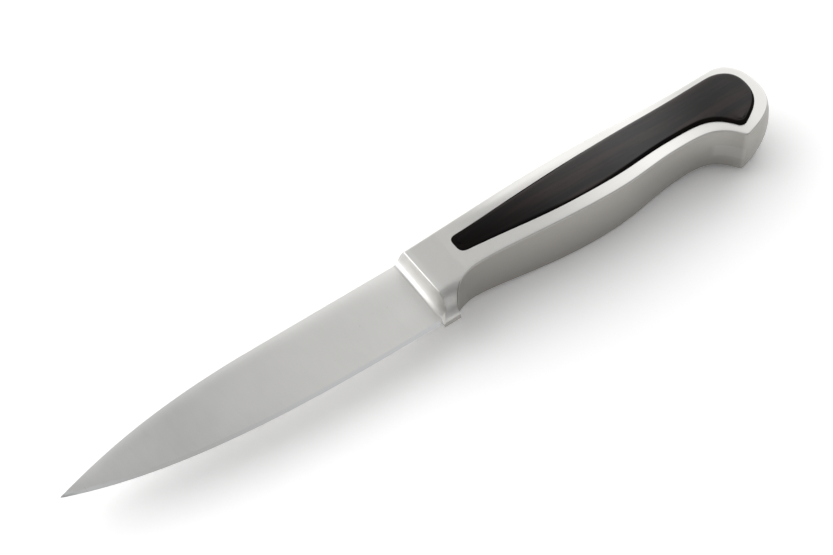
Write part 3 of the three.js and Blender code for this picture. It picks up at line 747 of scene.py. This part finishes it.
    def butt_curves(self, back_rear, rim):
        """Outline round the butt: back to rearmost point, on to the hook, round its corner, and up to the waist."""
        handle = self.handle
        rearmost = handle.length - rim.butt, -rim.butt_depth
        waist = self.waist_x, rim.waist - handle.waist_depth
        corner = self.hook_corner(rim.hook)
        corner_start = corner + direction(rim.butt_angle) * rim.round
        corner_end = corner + direction(handle.hook_belly_angle) * rim.round
        quarter = math.pi / 2
        on_butt = steps_up_to(BUTT_POINTS)
        return [
            (curve_between(back_rear, 0.0, rearmost, -quarter), on_butt),
            (curve_between(rearmost, -quarter, corner_start, math.pi + rim.butt_angle), on_butt),
            (np.array([corner_start, corner, corner_end]), half_steps(CORNER_POINTS)),
            (curve_between(corner_end, handle.hook_belly_angle, waist, math.pi), steps_after(BELLY_REAR_POINTS)),
        ]

    def side_stations(self, front_x, rear_x):
        """Stations of the belly up to the waist, and of the back, which go on to its rear end."""
        side_x = mix(front_x, self.waist_x, steps_up_to(SIDE_POINTS))
        return side_x, np.concatenate([side_x, mix(self.waist_x, rear_x, steps_up_to(BACK_REAR_POINTS))])

    def scale_edge(self):
        """Edge of the side face from the weld on the back to the weld on the belly: points, normals and crowns.

        The crown is how far the wall below each point bulges; it eases from the back's over the butt's to the
        belly's, and fades out at the weld.
        """
        handle = self.handle
        rear_x = handle.length - handle.butt_bend
        side_x, back_x = self.side_stations(self.weld_x, rear_x)
        belly_x = side_x[::-1]
        curves = self.butt_curves((rear_x, self.back_edge(rear_x)), self.no_rim)
        back, belly = graph(self.back_edge, back_x), graph(self.belly_edge, belly_x)
        points = [back, *(bezier(*curve) for curve in curves), belly]
        up, down = np.zeros((len(back_x), 2)), np.zeros((len(belly_x), 2))
        up[:, 1], down[:, 1] = 1.0, -1.0
        normals = [up, *(outward_normals(*curve) for curve in curves), down]
        crowns = [handle.back_crown, handle.butt_crown, handle.butt_crown, handle.belly_crown, handle.belly_crown]
        bulges = [np.full(len(back_x), handle.back_crown)]
        bulges += [mix(crowns[k], crowns[k + 1], shares) for k, (_, shares) in enumerate(curves)]
        bulges += [handle.belly_crown * smooth_step(belly_x, self.weld_x, handle.swell_at)]
        return np.concatenate(points), np.concatenate(normals), np.concatenate(bulges)

    def wall_row(self, z):
        """Row of points round the handle's wall at a height, or at one height for each point."""
        points, normals, crowns = self.scale_edge()
        face_z = self.face_height(points[:, 0])
        offset = wall_offset(np.abs(z), face_z, crowns, self.handle.edge_radius)
        return at_height(points + normals * offset[:, None], z)

    def closed_at_weld(self, row):
        """Closes a row of wall points along the straight weld, and starts it at the weld's middle."""
        weld = mix(row[-1], row[0], half_steps(FRONT_POINTS)[:, None])
        middle = FRONT_POINTS // 2
        return np.concatenate([weld[middle:], row, weld[:middle]])

    def inlay_outline(self, inset):
        """Outline of the inlay or its pocket, set in by an inset, from the middle of its front end."""
        handle, inlay = self.handle, self.inlay
        front_x = inlay.setback + inset
        side_x = front_x + inlay.end_round
        rear_x = handle.length - handle.butt_bend - inlay.rim_butt
        end_top = self.back_edge(inlay.setback) - inlay.rim_back_front
        back_corner = np.array([front_x, end_top - inset])
        belly_corner = np.array([front_x, end_top - inlay.end_height + inset])
        back_start = side_x, back_corner[1]
        belly_end = side_x, belly_corner[1] - inlay.end_round * math.tan(inlay.end_slope)
        back_rear = rear_x, self.back_edge(rear_x) - inlay.rim_back_rear - inset
        rims = inlay.rim_butt, inlay.rim_hook, inlay.rim_waist, inlay.rim_swell
        rim = Rim(*(width + inset for width in rims), inlay.butt_depth, inlay.butt_angle, inlay.end_round)
        from_corner = np.array([0.0, inlay.end_round])
        end_low, end_high = belly_corner + from_corner, back_corner - from_corner
        bends = (belly_end, belly_corner, end_low), (end_low, end_high), (end_high, back_corner, back_start)
        front = np.concatenate([bezier(bend, half_steps(FRONT_POINTS // 3)) for bend in bends])
        belly_x, back_x = self.side_stations(side_x, rear_x)
        back = graph(partial(height_on, curve_between(back_start, 0.0, back_rear, 0.0)), back_x)
        belly = graph(self.belly_line(rim, belly_end, math.pi - inlay.end_slope, PULL), belly_x[::-1])
        butt = [bezier(*curve) for curve in self.butt_curves(back_rear, rim)]
        middle = FRONT_POINTS // 2
        return np.concatenate([front[middle:], back, *butt, belly, front[:middle]])

    def inlay_top(self, x):
        """Top of the inlay: proud of the steel, more so towards the butt, with a soft minimum at the resting flat."""
        inlay = self.inlay
        along = ramp(x, inlay.setback, self.handle.length)
        free = self.face_height(x) + mix(inlay.proud_front, inlay.proud_rear, along)
        return (free + self.rest_z - np.hypot(free - self.rest_z, inlay.flat_blend)) / 2

    def back_fall(self, x, y):
        """Fall of the side face to the back: eased in behind the weld and out at its end, and none at the belly."""
        handle = self.handle
        starting = smooth_step(x, self.inlay.setback, handle.rim_fall_full)
        ending = 1.0 - smooth_step(x, handle.rim_fall_fade, handle.rim_fall_end)
        return handle.rim_fall * starting * ending * smooth_step(y, -handle.butt_depth, 0.0)

    def scale(self, side):
        """Steel handle half: crowned wall, round edge, side face, and the pocket for the inlay.

        Along the front of the back, the side face rises a little from its edge and settles at the pocket.
        """
        points, _, crowns = self.scale_edge()
        face_z = self.face_height(points[:, 0])[:, None]
        levels = wall_levels(face_z, crowns[:, None], self.handle.edge_radius, self.tang_half)
        rows = [self.closed_at_weld(self.wall_row(z)) for z in levels.T]
        pocket = self.inlay_outline(-self.inlay.fit_gap)
        edge = rows[-1][:, :2]
        fall = self.back_fall(*edge.T)
        for amount in steps_after(RIM_STEPS):
            outline = mix(edge, pocket, amount)
            rows.append(at_height(outline, self.face_height(outline[:, 0]) + fall * settle(amount)))
        rows.append(at_height(pocket, self.floor_z))
        return self.capped(rows, side)

    def wood(self, side):
        """Wood inlay: straight sides, a quarter ellipse above the steel, and a crest with a slight crown.

        The crest's rows draw in to the middle line, where each point meets its partner across the inlay. They rise
        by the crown and settle there.
        """
        inlay = self.inlay
        rows = [at_height(self.inlay_outline(0.0), self.inlay_base_z)]
        for turn in math.pi / 2 * np.arange(ROUND_STEPS + 1) / ROUND_STEPS:
            outline = self.inlay_outline(inlay.round_width * (1.0 - math.cos(turn)))
            low, high = self.face_height(outline[:, 0]), self.inlay_top(outline[:, 0]) - inlay.crest_crown
            rows.append(at_height(outline, mix(low, high, math.sin(turn))))
        edge = rows[-1][:, :2]
        for amount in steps_after(CREST_STEPS):
            drawn_in = mix(edge, edge[::-1], amount / 2)
            top = self.inlay_top(drawn_in[:, 0]) - inlay.crest_crown * (1.0 - amount) ** 2
            rows.append(at_height(drawn_in, top))
        return self.capped(rows, side, cap_end=False)

    def capped(self, rows, side, cap_end=True):
        """Shell over a stack of closed rows with flat ends, on the left (side 1) or mirrored to the right (-1)."""
        rings = np.stack(rows) * np.array([1.0, 1.0, side])
        count, columns = rings.shape[:2]
        ends = [np.arange(columns)[::-1]]
        if cap_end:
            ends.append((count - 1) * columns + np.arange(columns))
        return self.placed(welded(rings.reshape(-1, 3), stacked_quads(count, columns), ends))


class Value:
    """A socket's value in a node tree. Arithmetic on numbers adds Math nodes."""

    def __init__(self, tree, socket):
        self.tree = tree
        self.socket = socket

    def feed(self, socket):
        """Links this value to a socket."""
        self.tree.links.new(self.socket, socket)

    def math(self, operation, first, second):
        """Adds a Math node on two numbers, of which at least one is a Value."""
        node = self.tree.nodes.new("ShaderNodeMath")
        node.operation = operation
        for socket, value in zip(node.inputs, (first, second)):
            if isinstance(value, Value):
                value.feed(socket)
            else:
                socket.default_value = value
        return Value(self.tree, node.outputs[0])

    def __add__(self, other):
        return self.math("ADD", self, other)

    def __sub__(self, other):
        return self.math("SUBTRACT", self, other)

    def __rsub__(self, other):
        return self.math("SUBTRACT", other, self)

    def __mul__(self, other):
        return self.math("MULTIPLY", self, other)

    def __abs__(self):
        return self.math("ABSOLUTE", self, 0.0)

    __radd__ = __add__
    __rmul__ = __mul__


class Nodes:
    """A node tree that is written as expressions."""

    def __init__(self, tree):
        self.tree = tree
        tree.nodes.clear()

    def add(self, kind, settings=None, inputs=None, output=0):
        """Adds a node, makes its settings, feeds its sockets and returns one of its outputs, if it has any."""
        node = self.tree.nodes.new(kind)
        for name, value in (settings or {}).items():
            setattr(node, name, value)
        for name, value in (inputs or {}).items():
            if isinstance(value, Value):
                value.feed(node.inputs[name])
            else:
                node.inputs[name].default_value = value
        return Value(self.tree, node.outputs[output]) if node.outputs else None

    def split(self, vector):
        """The three numbers of a vector."""
        first = self.add("ShaderNodeSeparateXYZ", inputs={0: vector})
        return [Value(self.tree, socket) for socket in first.socket.node.outputs]

    def coordinates(self, kind):
        """The three numbers of a place (Object) or of the way that a surface faces (Normal)."""
        return self.split(self.add("ShaderNodeTexCoord", output=kind))

    def ease(self, value, low, high, kind="SMOOTHSTEP"):
        """Step of a number from 0 at low to 1 at high, eased or LINEAR."""
        inputs = {"Value": value, "From Min": low, "From Max": high}
        return self.add("ShaderNodeMapRange", {"interpolation_type": kind}, inputs)

    def mix_colour(self, factor, first, second):
        """Blend of two colours, each a Value or three numbers."""
        opaque = [value if isinstance(value, Value) else (*value, 1.0) for value in (first, second)]
        inputs = {0: factor, 6: opaque[0], 7: opaque[1]}
        return self.add("ShaderNodeMix", {"data_type": "RGBA"}, inputs, output=2)

    def stretched_noise(self, per_metre, detail):
        """Noise on Object coordinates, with its own number of waves in a metre along x, y and z."""
        place = self.add("ShaderNodeTexCoord", output="Object")
        stretched = self.add("ShaderNodeMapping", inputs={"Vector": place, "Scale": per_metre})
        return self.add("ShaderNodeTexNoise", inputs={"Vector": stretched, "Scale": 1.0, "Detail": detail})

    def bump(self, height, distance):
        """Faint relief of a height between 0 and 1, over a distance."""
        inputs = {"Strength": BUMP_STRENGTH, "Distance": distance, "Height": height}
        return self.add("ShaderNodeBump", inputs=inputs)


def new_finish(name):
    """An empty material and its node tree."""
    material = bpy.data.materials.new(name)
    material.use_nodes = True
    return material, Nodes(material.node_tree)


def close_finish(nodes, inputs):
    """Ends a material in a Principled shader with the given sockets."""
    shader = nodes.add("ShaderNodeBsdfPrincipled", inputs=inputs)
    nodes.add("ShaderNodeOutputMaterial", inputs={"Surface": shader})


def tones(colour, spread):
    """A darker and a lighter tone of a colour."""
    return [tuple(channel * factor for channel in colour) for factor in (1.0 - spread, 1.0 + spread)]


def rough_shaded_walls(nodes):
    """Where a surface faces neither out of the left side nor out of the right: 1 on walls, 0 on side faces."""
    # Painted shade: besides roughening the walls, this mask gives them the darker wall shade tint.
    return 1.0 - nodes.ease(abs(nodes.coordinates("Normal")[2]), *SIDE_FACING)


def satin_steel(nodes, lines, colour, layers, walls, roughness):
    """Satin steel: fine grinding lines and slow clouds in tone and roughness, with the lines as a faint bump.

    Each layer is a mask and the colour that the steel has there; the darker layers of the tip and the walls are
    painted shade. The walls are ground coarser.
    """
    clouds = nodes.stretched_noise(*STEEL_CLOUDS)
    grain = 0.5 * lines + 0.5 * clouds
    toned = nodes.mix_colour(grain, *tones(colour, STEEL_TONES))
    for mask, layer in layers:
        toned = nodes.mix_colour(mask, toned, nodes.mix_colour(grain, *tones(layer, STEEL_TONES)))
    uneven = (lines - 0.5) * LINE_ROUGHNESS + (clouds - 0.5) * CLOUD_ROUGHNESS
    close_finish(nodes, {
        "Base Color": toned,
        "Metallic": 1.0,
        "Roughness": uneven + walls * WALL_ROUGHNESS + roughness,
        "Normal": nodes.bump(lines, STEEL_BUMP),
    })


def forged_steel(name, shape, finish):
    """Steel of the forging: ground across on the blade, along on the bolster, and honed on the bevel.

    The blade is painted darker towards its tip, as painted shade. The guard's land and nose and the bolster's front
    take on more or less of the walls' darker tone, which is painted shade too.
    """
    material, nodes = new_finish(name)
    fillet, nose_depth = shape.bolster.fillet_run, shape.bolster.nose_depth
    place = nodes.coordinates("Object")
    along, height = (place[k] - float(shape.shift[k]) for k in range(2))
    forward, downward = (way * -1.0 for way in nodes.coordinates("Normal")[:2])
    honed = nodes.ease(downward, *HONED_FACING) * (1.0 - nodes.ease(along, -HONED_END * fillet, -fillet))
    to_tip = along * (-1.0 / shape.blade.length)
    # Painted shade: darker towards the tip, fading at the very tip.
    shaded_to_tip = nodes.ease(to_tip, *TIP_SHADING) * (1.0 - nodes.ease(to_tip, *TIP_FADE) * TIP_FADING)
    on_handle = nodes.ease(along, 0.0, fillet)
    # Painted shade: the guard's land, its nose and the bolster's front are darkened with the walls' tone.
    land = nodes.ease(downward, *LAND_FACING)
    ahead = nodes.ease(forward, *NOSE_FACING)
    upward = nodes.ease(height, -nose_depth, -nose_depth / 2)
    nose = ahead * mix(NOSE_SHADE, 0.0, upward)
    front = nodes.ease(forward, *FRONT_FACING) * upward * FRONT_SHADE
    walls = rough_shaded_walls(nodes) * nodes.ease(along, -fillet, 0.0) * (1.0 - ahead)
    walls = 1.0 - (1.0 - walls) * (1.0 - land) * (1.0 - nose) * (1.0 - front)
    lines = mix(nodes.stretched_noise(*BLADE_LINES), nodes.stretched_noise(*HANDLE_LINES), on_handle)
    # The tip's and the walls' layers are painted shade.
    layers = (
        (honed, finish.bevel_tint),
        (shaded_to_tip, finish.tip_tint),
        (on_handle, finish.handle_tint),
        (walls, finish.wall_tint),
    )
    roughness = nose * NOSE_ROUGHNESS + finish.blade_roughness
    satin_steel(nodes, lines, finish.blade_tint, layers, walls, roughness)
    return material


def ground_steel(name, finish):
    """Steel of the scales: ground along the handle, and coarser on the walls."""
    material, nodes = new_finish(name)
    lines, walls = nodes.stretched_noise(*HANDLE_LINES), rough_shaded_walls(nodes)
    # The walls' layer is painted shade: it darkens every wall of the scales.
    satin_steel(nodes, lines, finish.handle_tint, [(walls, finish.wall_tint)], walls, finish.handle_roughness)
    return material


def dark_wood(name, shape, finish):
    """Oiled dark wood: long streaks and short pores along the grain; painted sheen and a coat along the grip."""
    material, nodes = new_finish(name)
    handle, setback = shape.handle, shape.inlay.setback
    streaks = nodes.stretched_noise(*WOOD_STREAKS)
    pores = nodes.ease(nodes.stretched_noise(*WOOD_PORES), *OPEN_PORES)
    along = nodes.coordinates("Object")[0] - float(shape.shift[0])
    # Painted sheen: the grain is painted lighter along the grip, less so towards the butt, and the coat follows.
    sheen_along = nodes.ease(along, setback, handle.swell_at + setback)
    sheen_along = sheen_along * (1.0 - nodes.ease(along, handle.swell_at, handle.length) * SHEEN_FADING)
    # Painted shade: faces that turn to the belly lose the painted sheen and the coat and go dark.
    polished = sheen_along * (1.0 - nodes.ease(nodes.coordinates("Normal")[1] * -1.0, *BELLY_FACING))
    light_grain = nodes.ease(streaks, *LIGHT_GRAIN) * mix(*GRAIN_SHEEN_TONES, polished)
    grain = nodes.mix_colour(light_grain, finish.wood_dark, finish.wood_light)
    close_finish(nodes, {
        "Base Color": nodes.mix_colour(pores * PORE_TONE, grain, finish.wood_dark),
        "Roughness": mix(*WOOD_ROUGHNESS, streaks),
        "Specular IOR Level": WOOD_SPECULAR,
        "Coat Weight": polished * mix(*WOOD_COAT, pores),
        "Coat Roughness": finish.wood_polish,
        "Normal": nodes.bump(1.0 - pores, WOOD_BUMP),
    })
    return material


def cured_glue(name, colour):
    """Cured adhesive: a cloudy amber film, a little uneven."""
    material, nodes = new_finish(name)
    clouds = nodes.stretched_noise(*GLUE_CLOUDS)
    close_finish(nodes, {
        "Base Color": nodes.mix_colour(clouds, *tones(colour, GLUE_TONES)),
        "Roughness": mix(*GLUE_ROUGHNESS, clouds),
    })
    return material


def add_object(name, vertices, faces, material):
    """Adds an object from its corners and faces."""
    mesh = bpy.data.meshes.new(name)
    mesh.from_pydata(vertices, [], faces)
    mesh.materials.append(material)
    thing = bpy.data.objects.new(name, mesh)
    bpy.context.scene.collection.objects.link(thing)
    return thing


def add_piece(name, shell, material, node):
    """Adds a piece from its closed shell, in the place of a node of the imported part."""
    vertices, faces = shell
    piece = add_object(name, vertices.tolist(), faces, material)
    piece.data.shade_smooth()
    piece.data.set_sharp_from_angle(angle=SHARP_ANGLE)
    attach(piece, BODY)
    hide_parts(node)


class KNIFE_OT_forging(bpy.types.Operator):
    """Build blade, bolster and tang"""

    bl_idname = "knife.forging"
    bl_label = "Blade forging"

    def execute(self, context):
        shape = KnifeShape(context.scene)
        steel = forged_steel("blade_steel", shape, context.scene.knife_finish)
        add_piece("forged_blade", shape.forging(), steel, "blade_forging")
        return {"FINISHED"}


class KNIFE_OT_scales(bpy.types.Operator):
    """Build the two steel handle scales"""

    bl_idname = "knife.scales"
    bl_label = "Handle scales"

    def execute(self, context):
        shape = KnifeShape(context.scene)
        steel = ground_steel("handle_steel", context.scene.knife_finish)
        for name, side in SIDES.items():
            add_piece(f"steel_scale_{name}", shape.scale(side), steel, f"handle_scale_{name}")
        return {"FINISHED"}


class KNIFE_OT_inlays(bpy.types.Operator):
    """Build the two wood inlays"""

    bl_idname = "knife.inlays"
    bl_label = "Wood inlays"

    def execute(self, context):
        shape = KnifeShape(context.scene)
        wood = dark_wood("inlay_wood", shape, context.scene.knife_finish)
        for name, side in SIDES.items():
            add_piece(f"wood_inlay_{name}", shape.wood(side), wood, f"inlay_{name}")
        return {"FINISHED"}


class KNIFE_OT_glue(bpy.types.Operator):
    """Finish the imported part's adhesive beds"""

    bl_idname = "knife.glue"
    bl_label = "Glue beds"

    def execute(self, context):
        glue = cured_glue("glue", context.scene.knife_finish.glue_tint)
        for name in SIDES:
            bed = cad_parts[f"inlay_glue_{name}"]
            bed.material_slots[0].material = glue
        return {"FINISHED"}


class KNIFE_OT_stage(bpy.types.Operator):
    """Add floor, light and camera"""

    bl_idname = "knife.stage"
    bl_label = "Stage"

    def execute(self, context):
        stage = context.scene.knife_stage
        add_floor(stage)
        light_world(context.scene, stage)
        add_camera(context.scene, stage, Vector(KnifeShape(context.scene).shift))
        context.scene.view_settings.view_transform = "Standard"
        return {"FINISHED"}


def add_floor(stage):
    """White floor on which the knife lies, lifted where the camera or a mirroring surface sees it."""
    material, nodes = new_finish("paper")
    seen = sum(nodes.add("ShaderNodeLightPath", output=f"Is {kind} Ray") for kind in SEEING_RAYS)
    lifted = [channel * stage.floor_lift for channel in stage.floor_tint]
    paper = nodes.add("ShaderNodeBsdfDiffuse", inputs={"Color": nodes.mix_colour(seen, stage.floor_tint, lifted)})
    nodes.add("ShaderNodeOutputMaterial", inputs={"Surface": paper})
    half = stage.floor_size / 2
    corners = [(-half, -half, 0), (half, -half, 0), (half, half, 0), (-half, half, 0)]
    floor = add_object("floor", corners, [(0, 1, 2, 3)], material)


def light_world(scene, stage):
    """Studio sky: bright screens behind and beside the knife, with a dim gap between them.

    The screens darken to the horizon. The front is dim, and a little less so overhead.
    """
    world = bpy.data.worlds.new("studio")
    scene.world = world
    world.use_nodes = True
    nodes = Nodes(world.node_tree)
    way = nodes.add("ShaderNodeTexCoord", output="Generated")
    _, back, up = nodes.split(way)
    inputs = {0: way, 1: Vector(stage.gap_place).normalized()}
    to_gap = nodes.add("ShaderNodeVectorMath", {"operation": "DOT_PRODUCT"}, inputs, output="Value")
    behind = mix(stage.horizon, stage.screen, nodes.ease(up, *SCREEN_HEIGHT))
    behind = mix(behind, stage.gap, nodes.ease(to_gap, *GAP_WAY, "LINEAR"))
    front = mix(stage.front, stage.front_top, nodes.ease(up, *FRONT_TOP_HEIGHT))
    level = mix(front, behind, nodes.ease(back, *BEHIND_WAY))
    background = nodes.add("ShaderNodeBackground", inputs={"Strength": level})
    nodes.add("ShaderNodeOutputWorld", inputs={"Surface": background})


def add_camera(scene, stage, shift):
    """Camera with the photograph's viewing angle; its lens follows from the focal length in pixels."""
    data = bpy.data.cameras.new("camera")
    data.sensor_fit = "HORIZONTAL"
    data.sensor_width = SENSOR_WIDTH
    data.lens = SENSOR_WIDTH * stage.focal_pixels / IMAGE_WIDTH
    camera = bpy.data.objects.new("camera", data)
    camera.location = Vector(stage.eye) + shift
    camera.rotation_euler = math.pi / 2 - stage.elevation, 0.0, -stage.heading
    scene.collection.objects.link(camera)
    scene.camera = camera


class KNIFE_PT_parts(bpy.types.Panel):
    """Sidebar panel of the knife's parts and sizes"""

    bl_idname = "KNIFE_PT_parts"
    bl_label = "Knife"
    bl_space_type = "VIEW_3D"
    bl_region_type = "UI"
    bl_category = "Knife"

    def draw(self, context):
        for operator in OPERATORS:
            self.layout.operator(operator.bl_idname)
        for name, group in GROUPS.items():
            box = self.layout.box()
            for field in group.__annotations__:
                box.prop(getattr(context.scene, name), field)


OPERATORS = (KNIFE_OT_forging, KNIFE_OT_scales, KNIFE_OT_inlays, KNIFE_OT_glue, KNIFE_OT_stage)
GROUPS = {
    "knife_blade": BladeSizes,
    "knife_bolster": BolsterSizes,
    "knife_handle": HandleSizes,
    "knife_inlay": InlaySizes,
    "knife_finish": FinishSettings,
    "knife_stage": StageSettings,
}
CLASSES = (*GROUPS.values(), *OPERATORS, KNIFE_PT_parts)


def register():
    for cls in CLASSES:
        bpy.utils.register_class(cls)
    for name, group in GROUPS.items():
        setattr(bpy.types.Scene, name, PointerProperty(type=group))


def unregister():
    for name in GROUPS:
        delattr(bpy.types.Scene, name)
    for cls in reversed(CLASSES):
        bpy.utils.unregister_class(cls)


def main():
    register()
    bpy.ops.knife.forging()
    bpy.ops.knife.scales()
    bpy.ops.knife.inlays()
    bpy.ops.knife.glue()
    bpy.ops.knife.stage()
    bpy.context.view_layer.update()


if __name__ == "__main__":
    main()
